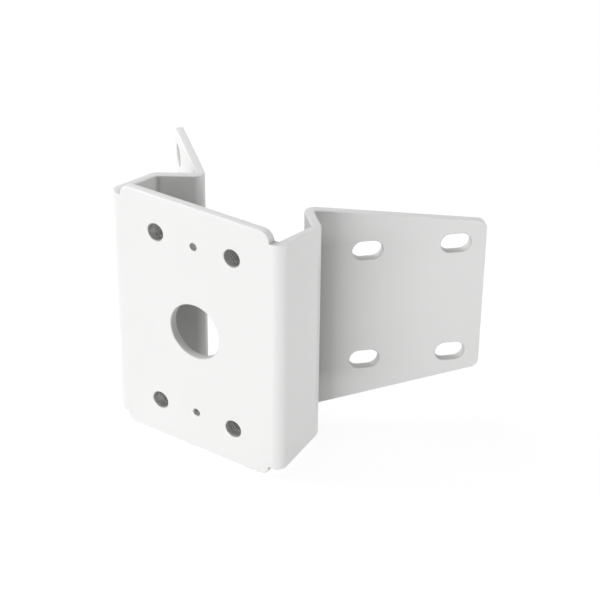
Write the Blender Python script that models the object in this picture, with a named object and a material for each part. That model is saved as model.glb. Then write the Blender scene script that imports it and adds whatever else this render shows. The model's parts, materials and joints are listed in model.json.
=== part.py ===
"""Corner mount bracket: one sheet of steel, cut to a flat blank and folded round an outside wall corner.

The blank is drawn flat, as it would be cut, with all its holes. It is then folded along eight bend lines
by one rule: each point keeps its height and its depth in the sheet, and its distance from the centre line
is laid off along the folded profile. Behind each bolt hole of the front plate sits a weld nut, which makes
the hole a deep bore. Every size below is in metres, and every other point follows from them.
"""

import math

import bmesh
import bpy
from mathutils import Vector

MM = 0.001

# The sheet.
SHEET = 4.0 * MM
EDGE_ROUND = 0.4 * MM  # softened edge left by the coating, on every cut edge
PLATE_BEND_RADIUS = 0.5 * MM  # inside radius of the two bends beside the front plate
BEND_RADIUS = 2.0 * MM  # inside radius of the other bends

# The front plate. Its corners stand above and below the side walls as rounded ears.
PLATE_WIDTH = 90.0 * MM  # over the outside faces of the side walls
PLATE_HEIGHT = 120.0 * MM
EAR_RADIUS = 5.0 * MM
EAR_INSET = 6.0 * MM  # from a side wall's outside face to the ear's upright edge

# The folded profile seen from above, on its front faces, between the points where those faces would meet.
SIDE_DEPTH = 30.0 * MM
WEB_LENGTH = 19.8 * MM
WING_LENGTH = 77.8 * MM
PLATE_TURN = math.radians(90.0)
SIDE_TURN = math.radians(45.0)
WING_TURN = math.radians(-90.0)

# The taper: half the height of the blank where the side wall, the web and the wing start, and at the wing's end.
SIDE_HALF_HEIGHT = 55.3 * MM
WEB_HALF_HEIGHT = 51.8 * MM
WING_HALF_HEIGHT = 49.7 * MM
END_HALF_HEIGHT = 37.0 * MM
WING_CORNER_RADIUS = 4.0 * MM

# The holes of the front plate.
CABLE_HOLE = 26.0 * MM
BOLT_HOLE = 8.0 * MM
BOLT_PITCH_X = 40.0 * MM
BOLT_PITCH_Z = 85.0 * MM
PILOT_HOLE = 3.4 * MM
PILOT_PITCH_Z = 83.2 * MM

# The weld nuts behind the bolt holes. Their weld points hold them just clear of the plate.
NUT_ACROSS_FLATS = 13.0 * MM
NUT_HEIGHT = 6.5 * MM
NUT_GAP = 0.3 * MM

# The slots of each wing, two rows of two.
SLOT_LENGTH = 13.5 * MM
SLOT_HEIGHT = 8.9 * MM
SLOT_PITCH_ALONG = 39.5 * MM
SLOT_PITCH_Z = 55.5 * MM
SLOT_TO_END = 13.8 * MM  # from the wing's end to the centre of its outer slots

# How finely round forms are drawn.
BEND_STEPS = 10  # facets in a quarter turn
CORNER_STEPS = 8
CABLE_HOLE_STEPS = 64
BOLT_HOLE_STEPS = 32
PILOT_HOLE_STEPS = 20
SLOT_END_STEPS = 12
SHARP_ANGLE = math.radians(35.0)
LEVEL = 0.99  # a face whose normal is more upright than this belongs to one of the sheet's two faces
WELD = 1e-6

COATING = (0.80, 0.80, 0.79, 1.0)


class Bend:
    """One fold: it starts at a distance along the blank and turns the sheet by an angle, leftwards if positive."""

    def __init__(self, start, turn, inside):
        self.start = start
        self.turn = turn
        self.inside = inside
        self.radius = inside + SHEET / 2
        self.length = abs(turn) * self.radius

    @property
    def end(self):
        """Distance along the blank at which the sheet runs straight again."""
        return self.start + self.length

    def setback(self, outside):
        """Length from the bend's start to where the flat faces would meet, on its outside or inside face."""
        return (self.inside + (SHEET if outside else 0.0)) * math.tan(abs(self.turn) / 2)


def bends_of_half():
    """The three bends of the right half, from the centre line outwards."""
    plate_bend = Bend(0.0, PLATE_TURN, PLATE_BEND_RADIUS)
    side_bend = Bend(0.0, SIDE_TURN, BEND_RADIUS)
    wing_bend = Bend(0.0, WING_TURN, BEND_RADIUS)
    plate_flat = PLATE_WIDTH / 2 - plate_bend.setback(True)
    side_flat = SIDE_DEPTH - plate_bend.setback(True) - side_bend.setback(True)
    web_flat = WEB_LENGTH - side_bend.setback(True) - wing_bend.setback(False)
    plate_bend.start = plate_flat
    side_bend.start = plate_bend.end + side_flat
    wing_bend.start = side_bend.end + web_flat
    return plate_bend, side_bend, wing_bend


def blank_end(wing_bend):
    """Distance along the blank from the centre line to the wing's end."""
    return wing_bend.end + WING_LENGTH - wing_bend.setback(False)


def arc(centre, radius, first, last, steps):
    """Points of an arc between two angles, both ends included."""
    angles = [first + (last - first) * i / steps for i in range(steps + 1)]
    return [(centre[0] + radius * math.cos(a), centre[1] + radius * math.sin(a)) for a in angles]


def rounded_corner(before, corner, after, radius, steps):
    """The corner between two straight edges, replaced by a tangent arc."""
    tip = Vector(corner)
    back = (Vector(before) - tip).normalized()
    ahead = (Vector(after) - tip).normalized()
    half = back.angle(ahead) / 2
    centre = tip + (back + ahead).normalized() * (radius / math.sin(half))
    first = tip + back * (radius / math.tan(half)) - centre
    last = tip + ahead * (radius / math.tan(half)) - centre
    start = math.atan2(first.y, first.x)
    sweep = math.remainder(math.atan2(last.y, last.x) - start, math.tau)
    return arc(centre, radius, start, start + sweep, steps)


def quarter_outline(bends):
    """The blank's outline in its upper right quarter, from the end of the wing to the top of the plate."""
    plate_bend, side_bend, wing_bend = bends
    end = blank_end(wing_bend)
    web_start = (side_bend.start + side_bend.end) / 2
    wing_start = (wing_bend.start + wing_bend.end) / 2
    at_wing = (wing_start, WING_HALF_HEIGHT)
    tip = (end, END_HALF_HEIGHT)
    points = rounded_corner((end, 0.0), tip, at_wing, WING_CORNER_RADIUS, CORNER_STEPS)
    points.append(at_wing)
    points.append((web_start, WEB_HALF_HEIGHT))
    points.append((plate_bend.end, SIDE_HALF_HEIGHT))
    ear_side = min(PLATE_WIDTH / 2 - EAR_INSET, plate_bend.start)
    points.append((ear_side, SIDE_HALF_HEIGHT))
    ear = (ear_side - EAR_RADIUS, PLATE_HEIGHT / 2 - EAR_RADIUS)
    points += arc(ear, EAR_RADIUS, 0.0, math.pi / 2, CORNER_STEPS)
    return points


def full_outline(quarter):
    """The whole outline, anticlockwise, from one quarter of it."""
    top_left = [(-s, z) for s, z in reversed(quarter)]
    bottom_left = [(-s, -z) for s, z in quarter]
    bottom_right = [(s, -z) for s, z in reversed(quarter)]
    return quarter + top_left + bottom_left + bottom_right


def round_hole(centre, diameter, steps):
    """A round hole's rim, without its repeated last point."""
    return arc(centre, diameter / 2, 0.0, math.tau, steps)[:-1]


def slot_hole(centre):
    """A slot's rim: two half circles joined by straight edges, along the wing."""
    reach = (SLOT_LENGTH - SLOT_HEIGHT) / 2
    near = (centre[0] - reach, centre[1])
    far = (centre[0] + reach, centre[1])
    quarter = math.pi / 2
    outer = arc(far, SLOT_HEIGHT / 2, -quarter, quarter, SLOT_END_STEPS)
    inner = arc(near, SLOT_HEIGHT / 2, quarter, 3 * quarter, SLOT_END_STEPS)
    return outer + inner


def bolt_place(side, up):
    """Centre of one bolt hole, in the plate's own plane."""
    return side * BOLT_PITCH_X / 2, up * BOLT_PITCH_Z / 2


def hole_rims(bends):
    """The rims of all the holes in the blank."""
    rims = [round_hole((0.0, 0.0), CABLE_HOLE, CABLE_HOLE_STEPS)]
    outer_slots = blank_end(bends[2]) - SLOT_TO_END
    for up in (-1, 1):
        rims.append(round_hole((0.0, up * PILOT_PITCH_Z / 2), PILOT_HOLE, PILOT_HOLE_STEPS))
        for side in (-1, 1):
            rims.append(round_hole(bolt_place(side, up), BOLT_HOLE, BOLT_HOLE_STEPS))
            for along in (outer_slots, outer_slots - SLOT_PITCH_ALONG):
                rims.append(slot_hole((side * along, up * SLOT_PITCH_Z / 2)))
    return rims


def cut_plate(rims, thickness):
    """A flat plate between its outline and the rims of its holes, as a mesh with z through its thickness."""
    curve = bpy.data.curves.new("plate_rims", "CURVE")
    curve.dimensions = "2D"
    curve.fill_mode = "BOTH"
    curve.extrude = thickness / 2 - EDGE_ROUND
    curve.bevel_depth = EDGE_ROUND
    curve.bevel_resolution = 1
    curve.offset = -EDGE_ROUND
    for rim in rims:
        spline = curve.splines.new("POLY")
        spline.points.add(len(rim) - 1)
        for point, (along, up) in zip(spline.points, rim):
            point.co = (along, up, 0.0, 1.0)
        spline.use_cyclic_u = True
    holder = bpy.data.objects.new("plate_rims", curve)
    bpy.context.scene.collection.objects.link(holder)
    bpy.context.view_layer.update()
    mesh = bpy.data.meshes.new_from_object(holder.evaluated_get(bpy.context.evaluated_depsgraph_get()))
    bpy.data.objects.remove(holder)
    bpy.data.curves.remove(curve)
    return mesh


def fold_lines(bends):
    """Distances along the blank at which its faces are divided, so that each bend can turn in facets."""
    lines = []
    for bend in bends:
        steps = max(2, round(BEND_STEPS * abs(bend.turn) / (math.pi / 2)))
        lines += [bend.start + bend.length * i / steps for i in range(steps + 1)]
    return lines


def folded_point(along, up, depth, bends):
    """Where a point of the flat right half goes: depth is measured from mid-sheet towards the wall side."""
    place = Vector((0.0, SHEET / 2))
    heading = 0.0
    done = 0.0
    for bend in bends:
        straight = min(along, bend.start) - done
        place += straight * Vector((math.cos(heading), math.sin(heading)))
        done += straight
        if along <= bend.start:
            break
        turned = (min(along, bend.end) - bend.start) / bend.length * bend.turn
        side = math.copysign(1.0, bend.turn)
        centre = place + side * bend.radius * Vector((-math.sin(heading), math.cos(heading)))
        heading += turned
        place = centre - side * bend.radius * Vector((-math.sin(heading), math.cos(heading)))
        done = min(along, bend.end)
    place += (along - done) * Vector((math.cos(heading), math.sin(heading)))
    place += depth * Vector((-math.sin(heading), math.cos(heading)))
    return Vector((place.x, place.y, up))


def set_shading(shape):
    """Shades the flat blank smooth, except at its outline's corners and round the rims of its two faces."""
    shape.normal_update()
    for face in shape.faces:
        face.smooth = True
    for edge in shape.edges:
        level = [abs(face.normal.z) > LEVEL for face in edge.link_faces]
        edge.smooth = level[0] == level[1] and edge.calc_face_angle() < SHARP_ANGLE


def fold(mesh, bends):
    """Folds the flat blank in place, and sets the middle of its bounding box on the origin."""
    shape = bmesh.new()
    shape.from_mesh(mesh)
    bmesh.ops.remove_doubles(shape, verts=shape.verts, dist=WELD)
    for line in fold_lines(bends):
        for side in (-1, 1):
            everything = shape.verts[:] + shape.edges[:] + shape.faces[:]
            bmesh.ops.bisect_plane(
                shape, geom=everything, dist=WELD, plane_co=(side * line, 0.0, 0.0), plane_no=(1.0, 0.0, 0.0)
            )
    set_shading(shape)
    for vert in shape.verts:
        side = math.copysign(1.0, vert.co.x)
        folded = folded_point(abs(vert.co.x), vert.co.y, vert.co.z, bends)
        vert.co = Vector((side * folded.x, folded.y, folded.z))
    low = Vector([min(v.co[i] for v in shape.verts) for i in range(3)])
    high = Vector([max(v.co[i] for v in shape.verts) for i in range(3)])
    bmesh.ops.translate(shape, verts=shape.verts, vec=-(low + high) / 2)
    bmesh.ops.recalc_face_normals(shape, faces=shape.faces)
    shape.to_mesh(mesh)
    shape.free()


def nut_mesh():
    """One weld nut: a hexagon with a plain bore that carries the bolt hole on, and z along its axis."""
    corner = NUT_ACROSS_FLATS / 2 / math.cos(math.pi / 6)
    hexagon = arc((0.0, 0.0), corner, 0.0, math.tau, 6)[:-1]
    mesh = cut_plate([hexagon, round_hole((0.0, 0.0), BOLT_HOLE, BOLT_HOLE_STEPS)], NUT_HEIGHT)
    shape = bmesh.new()
    shape.from_mesh(mesh)
    bmesh.ops.remove_doubles(shape, verts=shape.verts, dist=WELD)
    bmesh.ops.recalc_face_normals(shape, faces=shape.faces)
    set_shading(shape)
    shape.to_mesh(mesh)
    shape.free()
    return mesh


def weld_nuts(group, mesh, front):
    """Sets one nut behind each bolt hole of the plate whose front face is at y = front."""
    depth = front + SHEET + NUT_GAP + NUT_HEIGHT / 2
    for row, up in (("top", 1), ("bottom", -1)):
        for column, side in (("left", -1), ("right", 1)):
            nut = bpy.data.objects.new(f"weld_nut_{row}_{column}", mesh)
            across, height = bolt_place(side, up)
            nut.location = (across, depth, height)
            nut.rotation_euler = (math.pi / 2, 0.0, 0.0)
            group.objects.link(nut)


def powder_coat():
    """Matt white powder coating over the whole sheet."""
    material = bpy.data.materials.new("white_powder_coat")
    material.use_nodes = True
    shader = material.node_tree.nodes["Principled BSDF"]
    shader.inputs["Base Color"].default_value = COATING
    shader.inputs["Roughness"].default_value = 0.5
    material.diffuse_color = COATING
    return material


def main():
    """Builds the folded sheet and its nuts in one collection."""
    for old in list(bpy.data.objects):
        bpy.data.objects.remove(old)
    bends = bends_of_half()
    sheet = cut_plate([full_outline(quarter_outline(bends))] + hole_rims(bends), SHEET)
    fold(sheet, bends)
    sheet.name = "corner_bracket"
    nut = nut_mesh()
    nut.name = "weld_nut"
    coating = powder_coat()
    for mesh in (sheet, nut):
        mesh.materials.clear()
        mesh.materials.append(coating)
    bracket = bpy.data.objects.new("corner_bracket", sheet)
    group = bpy.data.collections.new("corner_mount_bracket")
    bpy.context.scene.collection.children.link(group)
    group.objects.link(bracket)
    weld_nuts(group, nut, min(vert.co.y for vert in sheet.vertices))


main()
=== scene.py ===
"""Dressed model of a camera corner mount bracket.

The bracket is one steel sheet with a white powder coat. It is built here as it is made: the outline and the
holes are cut in a flat blank, the cut edges are softened, and the blank is folded along six lines into the
place of its CAD node. Four weld nuts stand behind its front plate. Every length is in metres.
"""

import json
import logging
import math
from dataclasses import dataclass, fields
from enum import Enum

import bmesh
import bpy
from mathutils import Matrix, Vector
from mathutils.kdtree import KDTree

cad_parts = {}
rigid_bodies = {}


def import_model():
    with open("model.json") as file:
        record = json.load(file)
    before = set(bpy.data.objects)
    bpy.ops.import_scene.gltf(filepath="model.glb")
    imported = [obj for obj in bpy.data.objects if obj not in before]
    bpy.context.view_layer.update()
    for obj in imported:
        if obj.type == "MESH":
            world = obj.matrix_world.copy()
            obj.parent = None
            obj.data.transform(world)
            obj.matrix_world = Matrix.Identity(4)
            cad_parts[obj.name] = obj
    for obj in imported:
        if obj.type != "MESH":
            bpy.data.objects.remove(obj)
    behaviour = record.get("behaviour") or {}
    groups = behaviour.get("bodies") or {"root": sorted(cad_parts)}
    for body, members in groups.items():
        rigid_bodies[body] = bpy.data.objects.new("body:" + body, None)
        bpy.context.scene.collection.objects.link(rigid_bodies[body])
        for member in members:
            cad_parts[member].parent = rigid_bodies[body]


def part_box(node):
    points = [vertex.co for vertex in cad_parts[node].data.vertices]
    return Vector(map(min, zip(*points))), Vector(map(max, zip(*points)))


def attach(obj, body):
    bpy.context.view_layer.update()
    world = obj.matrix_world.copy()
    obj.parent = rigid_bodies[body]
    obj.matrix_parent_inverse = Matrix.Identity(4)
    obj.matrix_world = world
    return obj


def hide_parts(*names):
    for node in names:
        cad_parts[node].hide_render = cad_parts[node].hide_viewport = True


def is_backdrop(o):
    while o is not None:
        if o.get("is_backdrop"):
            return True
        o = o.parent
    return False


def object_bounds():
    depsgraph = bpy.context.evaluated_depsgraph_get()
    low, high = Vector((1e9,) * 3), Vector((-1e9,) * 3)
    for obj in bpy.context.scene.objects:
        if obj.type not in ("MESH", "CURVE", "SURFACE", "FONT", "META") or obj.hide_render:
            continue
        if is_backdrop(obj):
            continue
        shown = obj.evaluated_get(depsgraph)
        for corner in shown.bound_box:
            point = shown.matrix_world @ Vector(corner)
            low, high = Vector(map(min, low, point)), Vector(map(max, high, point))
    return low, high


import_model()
CAD_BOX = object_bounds()

LOG = logging.getLogger("corner_bracket")
MM = 0.001
WELD = 0.000001
LEVEL = 0.99
SHARP_ANGLE = math.radians(35.0)
DIAGONAL = math.sqrt(0.5)
SIDE_MITRE = math.tan(math.pi / 8)
WHITE = (1.0, 1.0, 1.0)
FINISH = "finish"
HEADING = "heading"


class Socket(Enum):
    """Kinds of value that a node group takes in or gives out."""

    GEOMETRY = "NodeSocketGeometry"
    LENGTH = "NodeSocketFloat"
    COUNT = "NodeSocketInt"
    VECTOR = "NodeSocketVector"
    COLOUR = "NodeSocketColor"


class Tree(Enum):
    """Kinds of node group."""

    SHAPE = "GeometryNodeTree"
    SHADER = "ShaderNodeTree"


class Finish(Enum):
    """What a face is finished with, by the number that marks it."""

    FACE = 0
    EDGE = 1
    HOLE = 2
    BARE = 3
    THREAD = 4
    SLOT = 5


class Side(Enum):
    """Halves of the bracket, by the sign of their X."""

    LEFT = -1
    RIGHT = 1


Colour = tuple[float, float, float]
Materials = dict[Finish, bpy.types.Material]
Rims = list[tuple[int, list[Vector]]]
FIELD_SOCKETS = {int: Socket.COUNT, float: Socket.LENGTH, Colour: Socket.COLOUR}


def label_of(name: str) -> str:
    """Turns a field's name into the name of a tree's input."""
    return name.replace("_", " ").capitalize()


def sockets_of(sizes: type) -> dict[str, Socket]:
    """Declares a socket for each field of a dataclass."""
    return {label_of(item.name): FIELD_SOCKETS[item.type] for item in fields(sizes)}


def inputs_of(sizes: object) -> dict[str, object]:
    """Gives the fields of a dataclass under the names of the sockets declared for them."""
    return {label_of(item.name): getattr(sizes, item.name) for item in fields(sizes)}


def lengths(*labels: str) -> dict[str, Socket]:
    """Declares sockets that are plain numbers."""
    return dict.fromkeys(labels, Socket.LENGTH)


class Wire:
    """One output in a node tree, which plain arithmetic takes further."""

    def __init__(self, bench: "Bench", socket: bpy.types.NodeSocket) -> None:
        """Takes the bench that it is wired on, and its socket."""
        self.bench = bench
        self.socket = socket

    def __add__(self, other: "Wire | float") -> "Wire":
        """Adds a value to it."""
        return self.bench.math("ADD", self, other)

    def __sub__(self, other: "Wire | float") -> "Wire":
        """Takes a value from it."""
        return self.bench.math("SUBTRACT", self, other)

    def __rsub__(self, other: "Wire | float") -> "Wire":
        """Takes it from a value."""
        return self.bench.math("SUBTRACT", other, self)

    def __mul__(self, other: "Wire | float") -> "Wire":
        """Multiplies it by a value."""
        return self.bench.math("MULTIPLY", self, other)

    def __truediv__(self, other: "Wire | float") -> "Wire":
        """Divides it by a value."""
        return self.bench.math("DIVIDE", self, other)

    def __rtruediv__(self, other: "Wire | float") -> "Wire":
        """Divides a value by it."""
        return self.bench.math("DIVIDE", other, self)

    def __pow__(self, power: float) -> "Wire":
        """Raises it to a power."""
        return self.bench.math("POWER", self, power)

    def __abs__(self) -> "Wire":
        """Drops its sign."""
        return self.bench.math("ABSOLUTE", self)

    def __gt__(self, other: "Wire | float") -> "Wire":
        """Gives 1 where it is more than a value, and else 0."""
        return self.bench.math("GREATER_THAN", self, other)

    def __lt__(self, other: "Wire | float") -> "Wire":
        """Gives 1 where it is less than a value, and else 0."""
        return self.bench.math("LESS_THAN", self, other)

    def at_least(self, low: float) -> "Wire":
        """Keeps it from falling under a value."""
        return self.bench.math("MAXIMUM", self, low)

    def at_most(self, high: float) -> "Wire":
        """Keeps it from rising over a value."""
        return self.bench.math("MINIMUM", self, high)


class Bench:
    """A node tree being wired: it adds nodes, sets their inputs and joins them."""

    def __init__(self, tree: bpy.types.NodeTree) -> None:
        """Starts with no group input and output.

        Args:
            tree: the tree to work on.
        """
        self.tree = tree
        self.start: bpy.types.Node | None = None
        self.end: bpy.types.Node | None = None

    @classmethod
    def group(
        cls, kind: Tree, name: str, takes: dict[str, Socket], gives: dict[str, Socket]
    ) -> "Bench":
        """Starts a new node group with named inputs and outputs.

        Args:
            kind: whether it shapes meshes or serves materials.
            name: the group's name.
            takes: its inputs, by name.
            gives: its outputs, by name.

        Returns:
            The bench with its group input and output in place.
        """
        tree = bpy.data.node_groups.new(name, kind.value)
        for way, sockets in (("INPUT", takes), ("OUTPUT", gives)):
            for label, socket in sockets.items():
                tree.interface.new_socket(name=label, in_out=way, socket_type=socket.value)
        bench = cls(tree)
        bench.start = tree.nodes.new("NodeGroupInput")
        bench.end = tree.nodes.new("NodeGroupOutput")
        return bench

    def taken(self, label: str) -> Wire:
        """Gives one of the group's inputs by its name."""
        return Wire(self, self.start.outputs[label])

    def give(self, label: str, value: object) -> None:
        """Sends a value to one of the group's outputs."""
        self.feed(self.end.inputs[label], value)

    def feed(self, socket: bpy.types.NodeSocket, value: object) -> None:
        """Joins a wire to a socket, or sets the socket's own value.

        Args:
            socket: the input that is fed.
            value: a wire, or a plain value.
        """
        if isinstance(value, Wire):
            self.tree.links.new(value.socket, socket)
        elif socket.type == "RGBA":
            socket.default_value = (*value, 1.0)
        else:
            socket.default_value = value

    def add(
        self, kind: str, inputs: dict[str | int, object] | None = None, **settings: object
    ) -> bpy.types.Node:
        """Adds a node.

        Args:
            kind: the node's type.
            inputs: what its sockets take, by name or number.
            settings: its own properties.

        Returns:
            The node.
        """
        node = self.tree.nodes.new(kind)
        for name, value in settings.items():
            setattr(node, name, value)
        for key, value in (inputs or {}).items():
            self.feed(node.inputs[key], value)
        return node

    def out(
        self,
        kind: str,
        inputs: dict[str | int, object] | None = None,
        output: str | int = 0,
        **settings: object,
    ) -> Wire:
        """Adds a node as add() does, and gives one of its outputs."""
        return Wire(self, self.add(kind, inputs, **settings).outputs[output])

    def math(self, operation: str, first: object, second: object = 0.0) -> Wire:
        """Adds one step of arithmetic, such as ADD or SINE."""
        return self.out("ShaderNodeMath", {0: first, 1: second}, operation=operation)

    def vector(self, **parts: object) -> Wire:
        """Puts a vector together from its named parts, such as X."""
        return self.out("ShaderNodeCombineXYZ", parts)

    def parts(self, vector: Wire) -> tuple[Wire, ...]:
        """Takes a vector apart into its X, Y and Z."""
        node = self.add("ShaderNodeSeparateXYZ", {0: vector})
        return tuple(Wire(self, socket) for socket in node.outputs)

    def stored(self, geometry: Wire, name: str, value: Wire) -> Wire:
        """Stores a number at every point of a shape, under a name."""
        inputs = {"Geometry": geometry, "Name": name, "Value": value}
        return self.out("GeometryNodeStoreNamedAttribute", inputs, data_type="FLOAT", domain="POINT")

    def coated(self, geometry: Wire, materials: Materials) -> Wire:
        """Makes a shape's instances real and gives each face the material that its mark asks for.

        Args:
            geometry: the shape.
            materials: the material for each finish.

        Returns:
            The finished shape.
        """
        mark = self.out("GeometryNodeInputNamedAttribute", {"Name": FINISH}, data_type="FLOAT")
        shape = self.out("GeometryNodeRealizeInstances", {"Geometry": geometry})
        for finish, material in materials.items():
            chosen = (mark > finish.value - 0.5) * (mark < finish.value + 0.5)
            inputs = {"Geometry": shape, "Selection": chosen, "Material": material}
            shape = self.out("GeometryNodeSetMaterial", inputs)
        return shape

    def place(self, group: bpy.types.NodeTree, inputs: dict[str, object]) -> dict[str, Wire]:
        """Places a finished group as a node.

        Args:
            group: the group.
            inputs: what its sockets take, by name.

        Returns:
            Its outputs, by name.
        """
        node = self.add(group.bl_idname.replace("Tree", "Group"), inputs, node_tree=group)
        return {socket.name: Wire(self, socket) for socket in node.outputs}


def shape_by(holder: bpy.types.Object, tree: bpy.types.NodeTree, values: dict[str, object]) -> None:
    """Puts a shaping tree on an object, with its named inputs set.

    Args:
        holder: the object that is shaped.
        tree: the tree.
        values: what its inputs take, by name.
    """
    modifier = holder.modifiers.new(tree.name, "NODES")
    modifier.node_group = tree
    for item in tree.interface.items_tree:
        if item.in_out == "INPUT" and item.name in values:
            modifier[item.identifier] = values[item.name]


def evaluated_mesh(holder: bpy.types.Object, name: str) -> bpy.types.Mesh:
    """Turns an object and its modifiers into a plain mesh, and removes the object.

    Args:
        holder: the object, with its modifiers.
        name: the name of the new mesh.

    Returns:
        The plain mesh.
    """
    bpy.context.view_layer.update()
    evaluated = holder.evaluated_get(bpy.context.evaluated_depsgraph_get())
    mesh = bpy.data.meshes.new_from_object(evaluated)
    bpy.data.batch_remove([holder, holder.data])
    mesh.name = name
    return mesh


def holder_of(data: bpy.types.ID) -> bpy.types.Object:
    """Gives a mesh, a curve, a lamp or a camera its object in the scene, at the origin.

    Args:
        data: what the object holds.

    Returns:
        The object, under the same name.
    """
    holder = bpy.data.objects.new(data.name, data)
    bpy.context.scene.collection.objects.link(holder)
    return holder


def loops_of(mesh: bpy.types.Mesh) -> Rims:
    """Follows the edges of a mesh that is made of closed loops alone.

    Args:
        mesh: the mesh, with a finish marked at each point of a hole's rim.

    Returns:
        The finish of each loop's wall, and its points in order.
    """
    marks = [round(item.value) or Finish.EDGE.value for item in mesh.attributes[FINISH].data]
    beside: dict[int, list[int]] = {vert.index: [] for vert in mesh.vertices}
    for edge in mesh.edges:
        first, second = edge.vertices
        beside[first].append(second)
        beside[second].append(first)
    loops = []
    while beside:
        current = next(iter(beside))
        mark = marks[current]
        loop = []
        while current is not None:
            loop.append(mesh.vertices[current].co.copy())
            near = beside.pop(current)
            current = next((other for other in near if other in beside), None)
        loops.append((mark, loop))
    return loops


@dataclass(frozen=True)
class Bend:
    """One fold of the sheet: its start along the blank, its turn towards the wall and its inside radius."""

    start: float
    turn: float
    inside: float
    sheet: float

    @property
    def length(self) -> float:
        """Length of blank that the bend takes up."""
        return abs(self.turn) * (self.inside + self.sheet / 2)

    @property
    def end(self) -> float:
        """Distance along the blank at which the sheet runs straight again."""
        return self.start + self.length

    def lines(self, steps: int) -> list[float]:
        """Distances along the blank at which the bend is divided."""
        return [self.start + self.length * i / steps for i in range(steps + 1)]


@dataclass(frozen=True)
class HolePattern:
    """Equal holes in rows and columns: a round hole is as long as it is high."""

    length: float
    height: float
    steps: int
    finish: int = Finish.HOLE.value
    centre: float = 0.0
    columns: int = 1
    rows: int = 1
    column_pitch: float = 0.0
    row_pitch: float = 0.0


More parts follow.
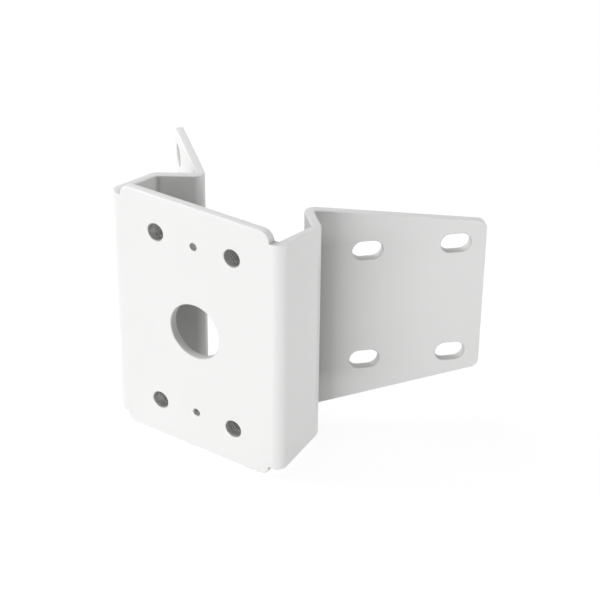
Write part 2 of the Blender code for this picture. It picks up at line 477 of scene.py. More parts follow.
@dataclass(frozen=True)
class Blank:
    """Sizes of the flat sheet and of the profile it is folded to, as in the CAD solid."""

    sheet: float = 4.0 * MM
    edge_round: float = 0.4 * MM
    plate_bend_radius: float = 0.5 * MM
    bend_radius: float = 2.0 * MM
    plate_width: float = 90.0 * MM
    plate_height: float = 120.0 * MM
    ear_radius: float = 5.0 * MM
    ear_inset: float = 6.0 * MM
    side_depth: float = 30.0 * MM
    web_length: float = 19.8 * MM
    wing_length: float = 77.8 * MM
    side_half_height: float = 55.3 * MM
    web_half_height: float = 51.8 * MM
    wing_half_height: float = 49.7 * MM
    end_half_height: float = 37.0 * MM
    wing_corner_radius: float = 4.0 * MM
    cable_hole: float = 26.0 * MM
    bolt_hole: float = 8.0 * MM
    bolt_pitch_across: float = 40.0 * MM
    bolt_pitch_up: float = 85.0 * MM
    pilot_hole: float = 3.4 * MM
    pilot_pitch: float = 83.2 * MM
    slot_length: float = 13.5 * MM
    slot_height: float = 8.9 * MM
    slot_to_end: float = 13.8 * MM
    slot_pitch: float = 39.5 * MM
    slot_pitch_up: float = 55.5 * MM
    cable_hole_steps: int = 120
    bolt_hole_steps: int = 64
    pilot_hole_steps: int = 40
    slot_steps: int = 64
    corner_steps: int = 16
    bend_steps: int = 24
    edge_steps: int = 3

    def bends(self) -> tuple[Bend, Bend, Bend]:
        """Lays the three bends of a half off from the centre line.

        Returns:
            The bends beside the plate, behind the side wall and in front of the wing.
        """
        outer_plate = self.plate_bend_radius + self.sheet
        outer_side = (self.bend_radius + self.sheet) * SIDE_MITRE
        plate = Bend(self.plate_width / 2 - outer_plate, math.pi / 2, self.plate_bend_radius, self.sheet)
        side_start = plate.end + self.side_depth - outer_plate - outer_side
        side = Bend(side_start, math.pi / 4, self.bend_radius, self.sheet)
        wing_start = side.end + self.web_length - outer_side - self.bend_radius
        wing = Bend(wing_start, -math.pi / 2, self.bend_radius, self.sheet)
        return plate, side, wing

    def end(self) -> float:
        """Distance along the blank from the centre line to the wing's end."""
        return self.bends()[2].end + self.wing_length - self.bend_radius

    def arc(self, centre: Vector, radius: float, first: float, last: float) -> list[Vector]:
        """Points of an arc between two angles.

        Args:
            centre: its centre.
            radius: its radius.
            first: the angle of its first point.
            last: the angle of its last point.

        Returns:
            The points, both ends included.
        """
        turns = [first + (last - first) * i / self.corner_steps for i in range(self.corner_steps + 1)]
        return [centre + radius * Vector((math.cos(turn), math.sin(turn))) for turn in turns]

    def wing_corner(self, tip: Vector, before: Vector, after: Vector) -> list[Vector]:
        """Rounds the corner at the wing's end.

        Args:
            tip: where the two straight edges would meet.
            before: a point of the edge that comes to it.
            after: a point of the edge that leaves it.

        Returns:
            The points of the arc that touches both edges.
        """
        back = (before - tip).normalized()
        ahead = (after - tip).normalized()
        half = back.angle(ahead) / 2
        centre = tip + (back + ahead).normalized() * (self.wing_corner_radius / math.sin(half))
        reach = self.wing_corner_radius / math.tan(half)
        first = tip + back * reach - centre
        last = tip + ahead * reach - centre
        start = math.atan2(first.y, first.x)
        sweep = math.remainder(math.atan2(last.y, last.x) - start, math.tau)
        return self.arc(centre, self.wing_corner_radius, start, start + sweep)

    def outline(self) -> list[Vector]:
        """Draws the blank's outline.

        Returns:
            Its points, anticlockwise, from the right wing's end.
        """
        plate, side, wing = self.bends()
        end = self.end()
        at_wing = Vector(((wing.start + wing.end) / 2, self.wing_half_height))
        tip = Vector((end, self.end_half_height))
        points = self.wing_corner(tip, Vector((end, 0.0)), at_wing)
        points.append(at_wing)
        points.append(Vector(((side.start + side.end) / 2, self.web_half_height)))
        points.append(Vector((plate.end, self.side_half_height)))
        ear_side = self.plate_width / 2 - self.ear_inset
        ear = Vector((ear_side - self.ear_radius, self.plate_height / 2 - self.ear_radius))
        leaves = math.asin((self.side_half_height - ear.y) / self.ear_radius)
        points += self.arc(ear, self.ear_radius, leaves, math.pi / 2)
        top_left = [Vector((-p.x, p.y)) for p in reversed(points)]
        bottom_left = [Vector((-p.x, -p.y)) for p in points]
        bottom_right = [Vector((p.x, -p.y)) for p in reversed(points)]
        return points + top_left + bottom_left + bottom_right

    def holes(self) -> list[HolePattern]:
        """Lists what is punched in the blank.

        Returns:
            The cable hole, the bolt holes, the pilot holes and the slots of both wings.
        """
        bare = {"finish": Finish.BARE.value, "rows": 2}
        bolts = {"columns": 2, "column_pitch": self.bolt_pitch_across, "row_pitch": self.bolt_pitch_up}
        slots = {
            "finish": Finish.SLOT.value,
            "rows": 2,
            "columns": 2,
            "column_pitch": self.slot_pitch,
            "row_pitch": self.slot_pitch_up,
        }
        middle = self.end() - self.slot_to_end - self.slot_pitch / 2
        return [
            HolePattern(self.cable_hole, self.cable_hole, self.cable_hole_steps),
            HolePattern(self.bolt_hole, self.bolt_hole, self.bolt_hole_steps, **bare, **bolts),
            HolePattern(
                self.pilot_hole, self.pilot_hole, self.pilot_hole_steps, **bare, row_pitch=self.pilot_pitch
            ),
            *(
                HolePattern(
                    self.slot_length, self.slot_height, self.slot_steps, centre=half.value * middle, **slots
                )
                for half in Side
            ),
        ]


class PunchingTree:
    """Geometry nodes that add the rims of one hole pattern to the blank's outline."""

    def build(self) -> bpy.types.NodeTree:
        """Builds the tree.

        Returns:
            A tree that joins the rims, as loops of edges, to the loops it is given.
        """
        takes = {"Outline": Socket.GEOMETRY, **sockets_of(HolePattern)}
        bench = Bench.group(Tree.SHAPE, "Punched holes", takes, {"Outline": Socket.GEOMETRY})
        inputs = {"Points": self.centres(bench), "Instance": self.rim(bench)}
        rims = bench.out("GeometryNodeInstanceOnPoints", inputs)
        real = bench.out("GeometryNodeRealizeInstances", {"Geometry": rims})
        loops = bench.out("GeometryNodeCurveToMesh", {"Curve": real})
        marked = bench.stored(loops, FINISH, bench.taken("Finish"))
        joined = bench.add("GeometryNodeJoinGeometry", {0: bench.taken("Outline")})
        bench.feed(joined.inputs[0], marked)
        bench.give("Outline", Wire(bench, joined.outputs[0]))
        return bench.tree

    def rim(self, bench: Bench) -> Wire:
        """Draws one rim: a circle whose halves are moved apart by the slot's straight length.

        Args:
            bench: the tree's bench.

        Returns:
            The rim's curve.
        """
        steps, height = bench.taken("Steps"), bench.taken("Height")
        circle = bench.out("GeometryNodeCurvePrimitiveCircle", {"Resolution": steps, "Radius": height / 2.0})
        half_step = bench.vector(Z=math.pi / steps)
        turned = bench.out("GeometryNodeTransform", {"Geometry": circle, "Rotation": half_step})
        across, _, _ = bench.parts(bench.out("GeometryNodeInputPosition"))
        apart = bench.math("SIGN", across) * (bench.taken("Length") - height)
        shift = bench.vector(X=apart / 2.0)
        return bench.out("GeometryNodeSetPosition", {"Geometry": turned, "Offset": shift})

    def centres(self, bench: Bench) -> Wire:
        """Lays the holes' centres out in rows and columns about the pattern's centre.

        Args:
            bench: the tree's bench.

        Returns:
            The points.
        """
        columns, rows = bench.taken("Columns"), bench.taken("Rows")
        number = bench.out("GeometryNodeInputIndex")
        row = bench.math("FLOOR", (number + 0.5) / columns)
        column = number - row * columns
        along = self.laid_off(column, columns, bench.taken("Column pitch")) + bench.taken("Centre")
        place = bench.vector(X=along, Y=self.laid_off(row, rows, bench.taken("Row pitch")))
        return bench.out("GeometryNodePoints", {"Count": columns * rows, "Position": place})

    def laid_off(self, number: Wire, count: Wire, pitch: Wire) -> Wire:
        """Distance of a row or column, by its number from 0, from the middle of them all."""
        return (number - (count - 1.0) / 2.0) * pitch


class FoldingTree:
    """Geometry nodes that fold the flat sheet along its bends, by one rule for every point."""

    names: tuple[str, ...] = ("Plate bend", "Side bend", "Wing bend")
    sizes: tuple[str, ...] = ("start", "turn", "inside radius")

    def one_fold(self) -> bpy.types.NodeTree:
        """Builds the rule of one bend as a group.

        Returns:
            A group that turns a point's distance along the sheet and its depth about the bend.
        """
        takes = lengths("Along", "Depth", "Start", "Turn", "Inside radius", "Sheet")
        bench = Bench.group(Tree.SHAPE, "One fold", takes, lengths("Along", "Depth", "Heading"))
        start, turn, depth = (bench.taken(label) for label in ("Start", "Turn", "Depth"))
        radius = bench.taken("Inside radius") + bench.taken("Sheet") / 2.0
        radius = radius * bench.math("SIGN", turn)
        length = radius * turn
        past = bench.taken("Along") - start
        heading = (past / length).at_least(0.0).at_most(1.0) * turn
        straight = past.at_most(0.0) + (past - length).at_least(0.0)
        sine, cosine = bench.math("SINE", heading), bench.math("COSINE", heading)
        bench.give("Heading", heading)
        bench.give("Along", (radius - depth) * sine + straight * cosine + start)
        bench.give("Depth", (depth - radius) * cosine + straight * sine + radius)
        return bench.tree

    def build(self, materials: Materials) -> bpy.types.NodeTree:
        """Builds the whole tree.

        Args:
            materials: the material for each finish.

        Returns:
            A tree that folds a flat sheet, lays it behind the front plate's place and gives it its finishes.
        """
        takes = {"Sheet": Socket.GEOMETRY, **lengths("Thickness", "Front face")}
        takes |= lengths(*(f"{name} {size}" for name in self.names for size in self.sizes))
        bench = Bench.group(Tree.SHAPE, "Folded sheet", takes, {"Bracket": Socket.GEOMETRY})
        thickness = bench.taken("Thickness")
        x, y, z = bench.parts(bench.out("GeometryNodeInputPosition"))
        half = bench.math("SIGN", x)
        along, depth = abs(x), z * -1.0
        heading: Wire | float = 0.0
        rule = self.one_fold()
        for name in reversed(self.names):
            bend = {size.capitalize(): bench.taken(f"{name} {size}") for size in self.sizes}
            fold = bench.place(rule, {"Along": along, "Depth": depth, "Sheet": thickness, **bend})
            along, depth = fold["Along"], fold["Depth"]
            heading = fold["Heading"] + heading
        turned = bench.stored(bench.taken("Sheet"), HEADING, heading * half)
        middle = bench.taken("Front face") + thickness / 2.0
        folded = bench.vector(X=along * half, Y=depth + middle, Z=y)
        moved = bench.out("GeometryNodeSetPosition", {"Geometry": turned, "Position": folded})
        bench.give("Bracket", bench.coated(moved, materials))
        return bench.tree


@dataclass(frozen=True)
class Tone:
    """Two tones with a slow random change between them, and a gloss that changes with it. The darker tone is
    also the colour of painted shade.
    """

    colour: Colour
    # The darker tone: random cloudy patches and painted shade both use it.
    thin_colour: Colour
    roughness: float
    cloud: float
    cloud_scale: float = 40.0
    gloss_change: float = 0.10


@dataclass(frozen=True)
class Relief:
    """Soft orange peel under a fine grain, with depths in millimetres."""

    peel_scale: float = 620.0
    peel_depth: float = 0.010
    grain_scale: float = 2600.0
    grain_depth: float = 0.003


@dataclass(frozen=True)
class Shelter:
    """How much painted shade, in the darker colour, each shaded place shows, from 0 to 1."""

    inside: float = 0.0
    corner: float = 0.0
    fold: float = 0.0
    crease: float = 0.0
    ear: float = 0.0


@dataclass(frozen=True)
class PaintedShadePlaces:
    """Where shade is painted on the right half, and how far each painted shade reaches."""

    half_width: float
    front: float
    half_sheet: float
    corner_across: float
    corner_back: float
    crease_across: float
    crease_back: float
    ear_across: float
    ear_up: float
    web_up: float
    wing_up: float
    corner_reach: float = 60.0 * MM
    corner_fade: float = 18.0 * MM
    fold_reach: float = 12.0 * MM
    crease_reach: float = 2.0 * MM
    ear_reach: float = 5.0 * MM

    @classmethod
    def on(cls, blank: Blank, front: float) -> "PaintedShadePlaces":
        """Finds the places on the folded sheet.

        Args:
            blank: the sheet's sizes.
            front: Y of the front plate's face.

        Returns:
            The places.
        """
        lean = blank.web_length * DIAGONAL
        return cls(
            half_width=(blank.plate_width - blank.sheet) / 2,
            front=front + blank.sheet / 2,
            half_sheet=blank.sheet / 2,
            corner_across=blank.plate_width / 2 - lean,
            corner_back=front + blank.side_depth + lean,
            crease_across=blank.plate_width / 2 - blank.sheet,
            crease_back=front + blank.side_depth - blank.sheet * SIDE_MITRE,
            ear_across=blank.plate_width / 2 - blank.ear_inset,
            ear_up=blank.side_half_height,
            web_up=blank.web_half_height,
            wing_up=blank.wing_half_height,
        )


class CoatEffects:
    """Shader groups that the finishes share."""

    wall_power: float = 4.0

    def __init__(self, places: PaintedShadePlaces) -> None:
        """Builds the groups once.

        Args:
            places: the places of the sheet where shade is painted.
        """
        self.places = places
        self.relief = self.relief_group()
        self.tone = self.tone_group()
        # Masks of painted shade: darker inside the box, in corners, in the crease and at the ears' feet.
        self.shelter = self.shelter_group()

    def noise(self, bench: Bench, scale: str, detail: float) -> Wire:
        """Adds noise at the group's own place, at the scale that one of its inputs holds."""
        inputs = {"Vector": bench.taken("Vector"), "Scale": bench.taken(scale), "Detail": detail}
        return bench.out("ShaderNodeTexNoise", inputs)

    def relief_group(self) -> bpy.types.NodeTree:
        """Builds the relief: soft orange peel under a fine grain.

        Returns:
            A group that gives a height in millimetres.
        """
        takes = {"Vector": Socket.VECTOR, **sockets_of(Relief)}
        bench = Bench.group(Tree.SHADER, "Coat relief", takes, lengths("Height"))
        peel = self.noise(bench, "Peel scale", detail=1.0) * bench.taken("Peel depth")
        grain = self.noise(bench, "Grain scale", detail=2.0) * bench.taken("Grain depth")
        bench.give("Height", peel + grain)
        return bench.tree

    def tone_group(self) -> bpy.types.NodeTree:
        """Builds the slow change of tone and gloss over the sheet, and mixes in painted shade by the share it
        is given.

        Returns:
            A group that gives a colour between two tones, and a roughness about a middle value.
        """
        takes = {"Vector": Socket.VECTOR, "Shelter": Socket.LENGTH, **sockets_of(Tone)}
        gives = {"Colour": Socket.COLOUR, "Roughness": Socket.LENGTH}
        bench = Bench.group(Tree.SHADER, "Coat tone", takes, gives)
        cloud = self.noise(bench, "Cloud scale", detail=3.0)
        # The painted shade share adds painted shade in the darker colour on top of the random cloud.
        share = (cloud * bench.taken("Cloud") + bench.taken("Shelter")).at_most(1.0)
        mixed = {0: share, 6: bench.taken("Colour"), 7: bench.taken("Thin colour")}
        bench.give("Colour", bench.out("ShaderNodeMix", mixed, 2, data_type="RGBA"))
        swing = (cloud - 0.5) * bench.taken("Gloss change")
        bench.give("Roughness", bench.taken("Roughness") + swing)
        return bench.tree

    def shelter_group(self) -> bpy.types.NodeTree:
        """Builds the masks of painted shade, for the places where shade falls.

        Returns:
            A group that gives a share that grows towards the side walls and the middle of the webs' inner
            faces, shares that grow into the corner between web and wing, one far and one near, and shares
            that grow into the crease where a side wall meets its web and to the ears' feet.
        """
        takes = {"Vector": Socket.VECTOR, **sockets_of(PaintedShadePlaces)}
        bench = Bench.group(Tree.SHADER, "Sheltered places", takes, sockets_of(Shelter))
        size = bench.taken
        # Painted shade: each mask darkens the coat where shade falls, inside the box, in the web-wing corner
        # and fold, in the side-web crease and at the ears' feet.
        x, y, z = bench.parts(size("Vector"))
        across, level = abs(x), abs(z)
        out, back = across - size("Corner across"), y - size("Corner back")
        outside_web = (out + back) * DIAGONAL + size("Half sheet") > 0.0
        before_wing = (out - back) * DIAGONAL + size("Half sheet") > 0.0
        within = outside_web * before_wing
        fade = ((size("Wing up") - level) / size("Corner fade")).at_least(0.0).at_most(1.0) ** 2.0
        bench.give("Corner", self.nearness(out, back, size("Corner reach")) * (within * fade))
        bench.give("Fold", self.nearness(out, back, size("Fold reach")) * within)
        aside, above = across - size("Ear across"), level - size("Ear up")
        bench.give("Ear", self.nearness(aside, above, size("Ear reach")))
        boxed = (y > size("Front")) * (across < size("Half width")) * (1.0 - outside_web)
        aside, beyond = across - size("Crease across"), y - size("Crease back")
        bench.give("Crease", self.nearness(aside, beyond, size("Crease reach")) * boxed)
        on_wall = (1.0 - (beyond / size("Crease reach")).at_least(0.0)).at_least(0.0)
        sideways = (across / size("Crease across")) ** self.wall_power * on_wall
        height = z / size("Web up")
        middle = (1.0 - on_wall) * (1.0 - height * height).at_least(0.0)
        bench.give("Inside", boxed * (sideways + middle))
        return bench.tree

    def nearness(self, first: Wire, second: Wire, reach: Wire) -> Wire:
        """Grows from 0 at the reach of a line to 1 on it, by the distances from it in two directions."""
        distance = first.bench.math("SQRT", first**2.0 + second**2.0)
        return (1.0 - distance / reach).at_least(0.0) ** 2.0


@dataclass(frozen=True)
class SteelFinish:
    """What every finish has: tones and gloss, and a relief. It paints no shade."""

    name: str
    tone: Tone
    relief: Relief = Relief()
    metallic: float = 0.0

    def thinness(self, bench: Bench, effects: CoatEffects, place: Wire) -> Wire | float:
        """Share of painted shade: none here."""
        return 0.0

    def build(self, effects: CoatEffects) -> bpy.types.Material:
        """Builds the material.

        Args:
            effects: the shader groups that it places.

        Returns:
            The material.
        """
        material = bpy.data.materials.new(self.name)
        material.use_nodes = True
        bench = Bench(material.node_tree)
        place = bench.out("ShaderNodeTexCoord", output="Object")
        # Share of painted shade, mixed into the colour by the tone group.
        shade_share = self.thinness(bench, effects, place)
        tone = bench.place(effects.tone, {"Vector": place, "Shelter": shade_share, **inputs_of(self.tone)})
        relief = bench.place(effects.relief, {"Vector": place, **inputs_of(self.relief)})
        shader = material.node_tree.nodes["Principled BSDF"].inputs
        bench.feed(shader["Base Color"], tone["Colour"])
        bench.feed(shader["Roughness"], tone["Roughness"])
        bench.feed(shader["Metallic"], self.metallic)
        bump = bench.out("ShaderNodeBump", {"Height": relief["Height"], "Distance": MM})
        bench.feed(shader["Normal"], bump)
        return material


@dataclass(frozen=True)
class PowderCoat(SteelFinish):
    """White powder coating, with painted shade mixed into its colour where shade falls."""

    shelter: Shelter = Shelter()

    def thinness(self, bench: Bench, effects: CoatEffects, place: Wire) -> Wire | float:
        """Adds up the shares of painted shade.

        Args:
            bench: the material's bench.
            effects: the shader groups, with the places.
            place: the object's coordinates.

        Returns:
            The share of painted shade.
        """
        masks = bench.place(effects.shelter, {"Vector": place, **inputs_of(effects.places)})
        shade_share: Wire | float = 0.0
        for label, share in inputs_of(self.shelter).items():
            shade_share = masks[label] * share + shade_share
        return shade_share


@dataclass(frozen=True)
class BareSteel(SteelFinish):
    """Steel in the bolt holes, which are plugged while the rest is coated: dented and scratched. Its dark
    tone also paints the shade deep in the holes.
    """

    relief: Relief = Relief(1500.0, 0.006, 5200.0, 0.004)
    metallic: float = 0.4


DULL = {"roughness": 0.55, "cloud": 1.0, "cloud_scale": 400.0, "gloss_change": 0.2}
FINISHES = {
    # Painted shade: the face coat darkens inside the box, in the corner and fold between web and wing, and in
    # the side-web crease.
    Finish.FACE: PowderCoat(
        "white_powder_coat_face",
        Tone((0.84, 0.84, 0.835), (0.50, 0.50, 0.493), roughness=0.57, cloud=0.08),
        shelter=Shelter(inside=0.65, corner=0.65, fold=0.95, crease=0.8),
    ),
    # Painted light: the edge coat is lighter than the face coat so the cut edges on top look lit from above;
    # its ear share paints shade at the ears' feet.
    Finish.EDGE: PowderCoat(
        "white_powder_coat_edge",
        Tone((0.87, 0.87, 0.865), (0.55, 0.55, 0.543), roughness=0.57, cloud=0.08),
        shelter=Shelter(ear=1.0),
    ),
    # Painted shade: the hole walls are darker than the face coat, for the shade inside the cable hole.
    Finish.HOLE: PowderCoat(
        "white_powder_coat_hole",
        Tone((0.74, 0.74, 0.732), (0.56, 0.56, 0.55), roughness=0.56, cloud=0.3),
    ),
    # Painted shade: the slot walls are darker still, for the shade inside the slots.
    Finish.SLOT: PowderCoat(
        "white_powder_coat_slot",
        Tone((0.62, 0.62, 0.613), (0.50, 0.50, 0.49), roughness=0.56, cloud=0.3),
    ),
    # Partly painted shade: the bare and threaded steel tones are also darkened for the shade deep in the bolt
    # holes, pilot holes and nut bores.
    Finish.BARE: BareSteel("bare_steel", Tone((0.60, 0.596, 0.584), (0.52, 0.517, 0.506), **DULL)),
    Finish.THREAD: BareSteel("threaded_steel", Tone((0.45, 0.447, 0.438), (0.37, 0.367, 0.36), **DULL)),
}


@dataclass
class Bracket:
    """The bracket itself: one folded sheet with its finish."""

    blank: Blank
    front: float
    materials: Materials
    name: str = "folded_bracket"

    def rims(self) -> Rims:
        """Draws the outline and punches every hole pattern into it.

        Returns:
            The finish and the points of each closed rim.
        """
        points = self.blank.outline()
        mesh = bpy.data.meshes.new("blank_outline")
        edges = [(i, (i + 1) % len(points)) for i in range(len(points))]
        mesh.from_pydata([(p.x, p.y, 0.0) for p in points], edges, [])
        holder = holder_of(mesh)
        punching = PunchingTree().build()
        for pattern in self.blank.holes():
            shape_by(holder, punching, inputs_of(pattern))
        punched = evaluated_mesh(holder, "punched_outline")
        loops = loops_of(punched)
        bpy.data.meshes.remove(punched)
        return loops

    def cut_blank(self, rims: Rims) -> bpy.types.Mesh:
        """Cuts the flat sheet along the rims, with softened edges.

        Args:
            rims: the finish and the points of each closed rim.

        Returns:
            The flat sheet: X along the blank, Y up it and Z out of its front face.
        """
        curve = bpy.data.curves.new("blank_rims", "CURVE")
        curve.dimensions = "2D"
        curve.fill_mode = "BOTH"
        curve.extrude = self.blank.sheet / 2 - self.blank.edge_round
        curve.bevel_depth = self.blank.edge_round
        curve.bevel_resolution = self.blank.edge_steps - 1
        curve.offset = -self.blank.edge_round
        for _, rim in rims:
            spline = curve.splines.new("POLY")
            spline.points.add(len(rim) - 1)
            for point, place in zip(spline.points, rim):
                point.co = (place.x, place.y, 0.0, 1.0)
            spline.use_cyclic_u = True
        return evaluated_mesh(holder_of(curve), "flat_sheet")

    def mark(self, shape: bmesh.types.BMesh, rims: Rims) -> None:
        """Marks each upright face with the finish of the rim that it runs along.

        Args:
            shape: the flat sheet, not yet divided.
            rims: the finish and the points of each closed rim.
        """
        marks = [(mark, place) for mark, rim in rims for place in rim]
        near = KDTree(len(marks))
        for i, (_, place) in enumerate(marks):
            near.insert((place.x, place.y, 0.0), i)
        near.balance()
        layer = shape.faces.layers.float.new(FINISH)
        for face in shape.faces:
            if abs(face.normal.z) < LEVEL:
                corner = face.verts[0].co
                face[layer] = marks[near.find((corner.x, corner.y, 0.0))[1]][0]

    def divide(self, mesh: bpy.types.Mesh, rims: Rims) -> None:
        """Divides the flat sheet across its bends, so that they turn smoothly.

        Args:
            mesh: the flat sheet.
            rims: the finish and the points of each closed rim.
        """
        shape = bmesh.new()
        shape.from_mesh(mesh)
        bmesh.ops.remove_doubles(shape, verts=shape.verts, dist=WELD)
        shape.normal_update()
        self.mark(shape, rims)
        for bend in self.blank.bends():
            steps = round(self.blank.bend_steps * abs(bend.turn) / (math.pi / 2))
            places = [half.value * line for line in bend.lines(steps) for half in Side]
            for place in places:
                bmesh.ops.bisect_plane(
                    shape,
                    geom=shape.verts[:] + shape.edges[:] + shape.faces[:],
                    dist=WELD,
                    plane_co=(place, 0.0, 0.0),
                    plane_no=(1.0, 0.0, 0.0),
                )
        self.join_strips(shape)
        bmesh.ops.dissolve_degenerate(shape, dist=WELD, edges=shape.edges)
        bmesh.ops.recalc_face_normals(shape, faces=shape.faces)
        self.crease(shape)
        shape.to_mesh(mesh)
        shape.free()

    def join_strips(self, shape: bmesh.types.BMesh) -> None:
        """Joins the filling's triangles from the first bend to the last into one face for each strip.

        Args:
            shape: the flat sheet, divided across its bends.
        """
        shape.normal_update()
        first, _, last = self.blank.bends()
        inner = []
        for edge in shape.edges:
            ends = [abs(vert.co.x) for vert in edge.verts]
            level = all(abs(face.normal.z) > LEVEL for face in edge.link_faces)
            across = abs(ends[0] - ends[1]) > 2 * WELD
            if level and across and min(ends) > first.start - WELD and max(ends) < last.end + WELD:
                inner.append(edge)
        bmesh.ops.dissolve_edges(shape, edges=inner, use_verts=True)

    def crease(self, shape: bmesh.types.BMesh) -> None:
        """Shades the flat sheet smooth, but for its outline's corners and the borders of its level faces.

        Args:
            shape: the flat sheet.
        """
        for face in shape.faces:
            face.smooth = True
        for edge in shape.edges:
            level = [abs(face.normal.z) > LEVEL for face in edge.link_faces]
            edge.smooth = level[0] == level[1] and edge.calc_face_angle() < SHARP_ANGLE

    def fold(self, mesh: bpy.types.Mesh) -> bpy.types.Mesh:
        """Folds the flat sheet into the CAD node's place.

        Args:
            mesh: the flat sheet, divided across its bends.

        Returns:
            The folded sheet as a plain mesh.
        """
        flat_normals = [corner.vector.copy() for corner in mesh.corner_normals]
        for material in self.materials.values():
            mesh.materials.append(material)
        values = {"Thickness": self.blank.sheet, "Front face": self.front}
        for name, bend in zip(FoldingTree.names, self.blank.bends()):
            for size, value in zip(FoldingTree.sizes, (bend.start, bend.turn, bend.inside)):
                values[f"{name} {size}"] = value
        holder = holder_of(mesh)
        shape_by(holder, FoldingTree().build(self.materials), values)
        folded = evaluated_mesh(holder, self.name)
        self.turn_normals(folded, flat_normals)
        return folded

    def turn_normals(self, mesh: bpy.types.Mesh, flat_normals: list[Vector]) -> None:
        """Turns the flat sheet's normals as the folds turned its points, so that every flat shades evenly.

        Args:
            mesh: the folded sheet, with each point's heading.
            flat_normals: the normal at each face corner of the flat sheet.
        """
        headings = [item.value for item in mesh.attributes[HEADING].data]
        turned = []
        for corner, flat in zip(mesh.loops, flat_normals):
            heading = headings[corner.vertex_index]
            sine, cosine = math.sin(heading), math.cos(heading)
            turned.append((flat.x * cosine + flat.z * sine, flat.x * sine - flat.z * cosine, flat.y))
        mesh.normals_split_custom_set(turned)
        mesh.attributes.remove(mesh.attributes[HEADING])

    def build(self) -> bpy.types.Object:
        """Builds and dresses the bracket.

        Returns:
            The bracket, riding on its body in place of its CAD node.
        """
        rims = self.rims()
        mesh = self.cut_blank(rims)
        self.divide(mesh, rims)
        piece = holder_of(self.fold(mesh))
        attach(piece, "root")
        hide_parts("corner_bracket")
        return piece


@dataclass(frozen=True)
class WeldNut:
    """A hexagon nut welded behind a bolt hole, with a real thread, in rings about its axis."""

    across_flats: float = 13.0 * MM
    height: float = 6.8 * MM
    major: float = 8.0 * MM
    pitch: float = 1.25 * MM
    thread_depth: float = 0.35 * MM
    thread_slope: float = 2.6
    lead_in: float = 0.6 * MM
    fillet: float = 0.6 * MM
    face_inset: float = 0.2 * MM
    chamfer_angle: float = math.radians(30.0)
    steps: int = 72
    fillet_steps: int = 3
    rings_per_turn: int = 8

    def hexagon(self, turn: float) -> float:
        """Distance from the axis to the hexagon's side at an angle."""
        sector = math.pi / 3
        return self.across_flats / 2 / math.cos((turn % sector) - sector / 2)

    def thread(self, turn: float, depth: float) -> float:
        """Radius of the bore at an angle and a depth.

        Args:
            turn: the angle about the axis.
            depth: the distance from the nut's front face.

        Returns:
            The radius: the outer diameter's at a root, less the thread's depth at a crest.
        """
        phase = (depth / self.pitch - turn / math.tau) % 1.0
        crest = max(0.0, 1.0 - abs(phase - 0.5) * self.thread_slope)
        ends = min(depth, self.height - depth) / self.lead_in
        return self.major / 2 - self.thread_depth * crest * max(0.0, min(1.0, ends))

    def rings(self) -> list[list[tuple[float, float]]]:
        """Lists the nut's rings as radius and depth at every angle, once round its section.

        Returns:
            The rings: up the bore, over the rear face, down the sides and back over the front face.
        """
        turns = [math.tau * i / self.steps for i in range(self.steps)]
        count = round(self.height / self.pitch * self.rings_per_turn)
        depths = [self.height * i / count for i in range(count + 1)]
        rings = [[(self.thread(turn, depth), depth) for turn in turns] for depth in depths]
        flat = self.across_flats / 2 - self.face_inset
        rings.append([(flat, self.height)] * self.steps)
        slope = math.tan(self.chamfer_angle)
        sides = [self.hexagon(turn) for turn in turns]
        rings.append([(side, self.height - (side - flat) * slope) for side in sides])
        for i in range(self.fillet_steps + 1):
            lean = i / self.fillet_steps * math.pi / 2
            out = self.fillet * (1.0 - math.cos(lean))
            low = self.fillet * (1.0 - math.sin(lean))
            rings.append([(side + out, low) for side in sides])
        return rings

    def mesh(self) -> bpy.types.Mesh:
        """Builds one nut with its front face on the XY plane and its axis along Z.

        Returns:
            Its closed mesh.
        """
        shape = bmesh.new()
        loops = []
        for ring in self.rings():
            loop = []
            for i, (radius, depth) in enumerate(ring):
                turn = math.tau * i / self.steps
                loop.append(shape.verts.new((radius * math.cos(turn), radius * math.sin(turn), depth)))
            loops.append(loop)
        for here, there in zip(loops, loops[1:] + loops[:1]):
            for i in range(self.steps):
                after = (i + 1) % self.steps
                shape.faces.new((here[i], here[after], there[after], there[i]))
        bmesh.ops.recalc_face_normals(shape, faces=shape.faces)
        mark = shape.faces.layers.float.new(FINISH)
        for face in shape.faces:
            face.smooth = True
            centre = face.calc_center_median()
            in_bore = math.hypot(centre.x, centre.y) < self.major / 2 + WELD
            face[mark] = Finish.THREAD.value if in_bore else Finish.EDGE.value
        for edge in shape.edges:
            edge.smooth = edge.calc_face_angle() < SHARP_ANGLE
        mesh = bpy.data.meshes.new("one_weld_nut")
        shape.to_mesh(mesh)
        shape.free()
        return mesh


class NutTree:
    """Geometry nodes that set one nut behind each bolt hole."""

    def build(self, materials: Materials) -> bpy.types.NodeTree:
        """Builds the tree.

        Args:
            materials: the material for each finish.

        Returns:
            A tree that repeats the nut at the bolt holes' pitch, with its axis turned along Y.
        """
        takes = {"Nut": Socket.GEOMETRY, **lengths("Pitch across", "Pitch up", "Seat")}
        bench = Bench.group(Tree.SHAPE, "Nuts behind the plate", takes, {"Nuts": Socket.GEOMETRY})
        sizes = {"Size X": bench.taken("Pitch across"), "Size Y": bench.taken("Pitch up")}
        grid = bench.out("GeometryNodeMeshGrid", {**sizes, "Vertices X": 2, "Vertices Y": 2})
        nuts = bench.out("GeometryNodeInstanceOnPoints", {"Points": grid, "Instance": bench.taken("Nut")})
        turn = (-math.pi / 2, 0.0, 0.0)
        moves = {"Translation": bench.vector(Y=bench.taken("Seat")), "Rotation": turn}
        turned = bench.out("GeometryNodeTransform", {"Geometry": nuts, **moves})
        bench.give("Nuts", bench.coated(turned, materials))
        return bench.tree


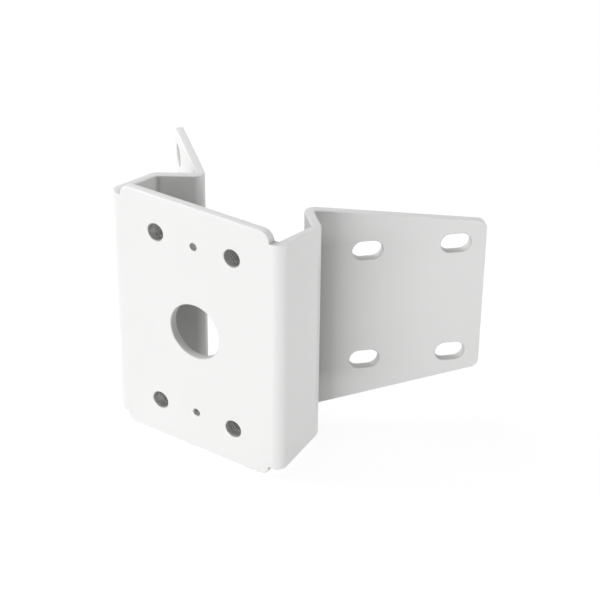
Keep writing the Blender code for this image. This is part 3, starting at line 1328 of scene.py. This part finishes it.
@dataclass
class NutSet:
    """The four nuts behind the front plate."""

    blank: Blank
    front: float
    materials: Materials
    nut: WeldNut
    name: str = "weld_nuts"
    nodes: tuple[str, ...] = (
        "weld_nut_top_left",
        "weld_nut_top_right",
        "weld_nut_bottom_left",
        "weld_nut_bottom_right",
    )

    def build(self) -> bpy.types.Object:
        """Builds and dresses the nuts.

        Returns:
            The nuts as one piece, riding on their body in place of their CAD nodes.
        """
        mesh = self.nut.mesh()
        for material in self.materials.values():
            mesh.materials.append(material)
        holder = holder_of(mesh)
        values = {
            "Pitch across": self.blank.bolt_pitch_across,
            "Pitch up": self.blank.bolt_pitch_up,
            "Seat": self.front + self.blank.sheet,
        }
        shape_by(holder, NutTree().build(self.materials), values)
        piece = holder_of(evaluated_mesh(holder, self.name))
        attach(piece, "root")
        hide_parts(*self.nodes)
        return piece


def direction(azimuth: float, elevation: float) -> Vector:
    """Gives the way from the bracket to where something stands.

    Args:
        azimuth: degrees round the bracket, 0 in front of it and 90 to its right.
        elevation: degrees above the level.

    Returns:
        A vector of length 1.
    """
    turn = math.radians(azimuth)
    rise = math.radians(elevation)
    level = math.cos(rise)
    return Vector((math.sin(turn) * level, -math.cos(turn) * level, math.sin(rise)))


@dataclass(frozen=True)
class Softbox:
    """A soft lamp that faces the bracket. Its level is what a matt white surface that faces it would show."""

    name: str
    azimuth: float
    elevation: float
    level: float
    width: float = 0.9
    height: float = 0.9
    distance: float = 1.2

    def build(self) -> bpy.types.Object:
        """Places the lamp.

        Returns:
            The lamp.
        """
        lamp = bpy.data.lights.new(self.name, "AREA")
        lamp.shape = "RECTANGLE"
        lamp.size = self.width
        lamp.size_y = self.height
        lamp.energy = self.level * (math.pi * self.distance) ** 2
        holder = holder_of(lamp)
        back = direction(self.azimuth, self.elevation)
        holder.location = back * self.distance
        holder.rotation_mode = "QUATERNION"
        holder.rotation_quaternion = back.to_track_quat("Z", "Y")
        return holder


@dataclass
class Studio:
    """Plain pale floor, white surround and soft lamps, with the level at which they light the floor."""

    floor_reach: float = 0.9
    floor_bounce: float = 0.6
    floor_shade: float = 0.16
    floor_light: float = 0.6
    surround: float = 0.1
    lamps: tuple[Softbox, ...] = (
        Softbox("front_softbox", 1.0, 7.0, 0.70, 0.9, 0.4),
        Softbox("right_softbox", 115.0, 7.0, 0.56, 1.3, 0.4),
        Softbox("left_softbox", -80.0, 35.0, 0.48),
        Softbox("high_softbox", -90.0, 65.0, 0.45),
    )

    def seen(self, bench: Bench) -> Wire:
        """Tells whether a surface is looked at, straight, through glass or in a reflection.

        Args:
            bench: the material's bench.

        Returns:
            1 for such a ray and 0 for one that only carries light.
        """
        path = bench.add("ShaderNodeLightPath").outputs
        rays = ("Is Camera Ray", "Is Glossy Ray", "Is Transmission Ray")
        camera, glossy, through = (Wire(bench, path[ray]) for ray in rays)
        return bench.math("MAXIMUM", camera, bench.math("MAXIMUM", glossy, through))

    def floor_material(self) -> bpy.types.Material:
        """Builds the floor's finish: white where it is looked at, less the shadow that falls on it.

        Returns:
            The material.
        """
        material = bpy.data.materials.new("studio_floor")
        material.use_nodes = True
        material.node_tree.nodes.clear()
        bench = Bench(material.node_tree)
        bounce = bench.out("ShaderNodeBsdfDiffuse", {"Color": [self.floor_bounce] * 3})
        shaded = bench.out("ShaderNodeBsdfDiffuse", {"Color": [self.floor_shade] * 3})
        own_light = 1.0 - self.floor_light * self.floor_shade
        bright = bench.out("ShaderNodeEmission", {"Color": WHITE, "Strength": own_light})
        white = bench.out("ShaderNodeAddShader", {0: shaded, 1: bright})
        above = bench.out("ShaderNodeMixShader", {0: self.seen(bench), 1: bounce, 2: white})
        below = bench.out("ShaderNodeNewGeometry", output="Backfacing")
        clear = bench.out("ShaderNodeBsdfTransparent")
        both = bench.out("ShaderNodeMixShader", {0: below, 1: above, 2: clear})
        bench.add("ShaderNodeOutputMaterial", {"Surface": both})
        return material

    def build_floor(self, height: float) -> bpy.types.Object:
        """Lays the floor.

        Args:
            height: its level.

        Returns:
            The floor.
        """
        shape = bmesh.new()
        bmesh.ops.create_grid(shape, x_segments=1, y_segments=1, size=self.floor_reach)
        bmesh.ops.translate(shape, verts=shape.verts, vec=(0.0, 0.0, height))
        mesh = bpy.data.meshes.new("studio_floor")
        shape.to_mesh(mesh)
        shape.free()
        mesh.materials.append(self.floor_material())
        floor = holder_of(mesh)
        floor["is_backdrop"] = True
        return floor

    def build_surround(self) -> None:
        """Lights the scene evenly from all round, and shows white behind the floor."""
        world = bpy.data.worlds.new("studio_surround")
        world.use_nodes = True
        world.node_tree.nodes.clear()
        bench = Bench(world.node_tree)
        light = bench.out("ShaderNodeBackground", {"Color": WHITE, "Strength": self.surround})
        white = bench.out("ShaderNodeBackground", {"Color": WHITE, "Strength": 1.0})
        mix = bench.out("ShaderNodeMixShader", {0: self.seen(bench), 1: light, 2: white})
        bench.add("ShaderNodeOutputWorld", {"Surface": mix})
        bpy.context.scene.world = world


@dataclass(frozen=True)
class Viewpoint:
    """The camera, at the photograph's angle and distance."""

    azimuth: float = 35.091
    elevation: float = 29.259
    distance: float = 0.767885
    right: float = 0.029313
    up: float = 0.029175
    lens: float = 107.104
    sensor: float = 36.0
    nearest: float = 0.01
    shift: tuple[float, float] = (0.061935, -0.059553)

    def build(self, target: Vector) -> bpy.types.Object:
        """Places the camera.

        Args:
            target: the middle of the front plate's face.

        Returns:
            The camera, set as the scene's own.
        """
        back = direction(self.azimuth, self.elevation)
        right = (-back).cross(Vector((0.0, 0.0, 1.0))).normalized()
        up = right.cross(-back)
        eye = target + right * self.right + up * self.up + back * self.distance
        lens = bpy.data.cameras.new("photo_camera")
        lens.sensor_width = self.sensor
        lens.lens = self.lens
        lens.shift_x, lens.shift_y = self.shift
        lens.clip_start = self.nearest
        camera = holder_of(lens)
        camera.matrix_world = Matrix.Translation(eye) @ Matrix((right, up, back)).transposed().to_4x4()
        bpy.context.scene.camera = camera
        return camera


def write_sizes(cad: tuple[Vector, Vector], dressed: tuple[Vector, Vector]) -> None:
    """Logs the sizes of both boxes.

    Args:
        cad: lowest and highest corner of the CAD model.
        dressed: lowest and highest corner of the dressed model.
    """
    for name, (low, high) in (("cad", cad), ("visual", dressed)):
        size = [round((b - a) / MM, 3) for a, b in zip(low, high)]
        LOG.info("%s box %s mm", name, size)


def main() -> None:
    """Builds the bracket and its studio, in order."""
    logging.basicConfig(level=logging.INFO, format="%(name)s: %(message)s")
    bpy.context.scene.view_settings.view_transform = "Standard"
    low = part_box("corner_bracket")[0]
    blank = Blank()
    effects = CoatEffects(PaintedShadePlaces.on(blank, low.y))
    materials = {finish: maker.build(effects) for finish, maker in FINISHES.items()}
    for maker in (Bracket(blank, low.y, materials), NutSet(blank, low.y, materials, WeldNut())):
        piece = maker.build()
        LOG.info("%s: %d faces, %d vertices", piece.name, len(piece.data.polygons), len(piece.data.vertices))
    studio = Studio()
    floor = studio.build_floor(low.z)
    LOG.info("%s at %.4f", floor.name, low.z)
    studio.build_surround()
    for softbox in studio.lamps:
        lamp = softbox.build()
        LOG.info("%s: %.2f W", lamp.name, lamp.data.energy)
    camera = Viewpoint().build(Vector((0.0, low.y, 0.0)))
    LOG.info("%s: lens %.1f mm", camera.name, camera.data.lens)
    write_sizes(CAD_BOX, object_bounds())


if __name__ == "__main__":
    main()
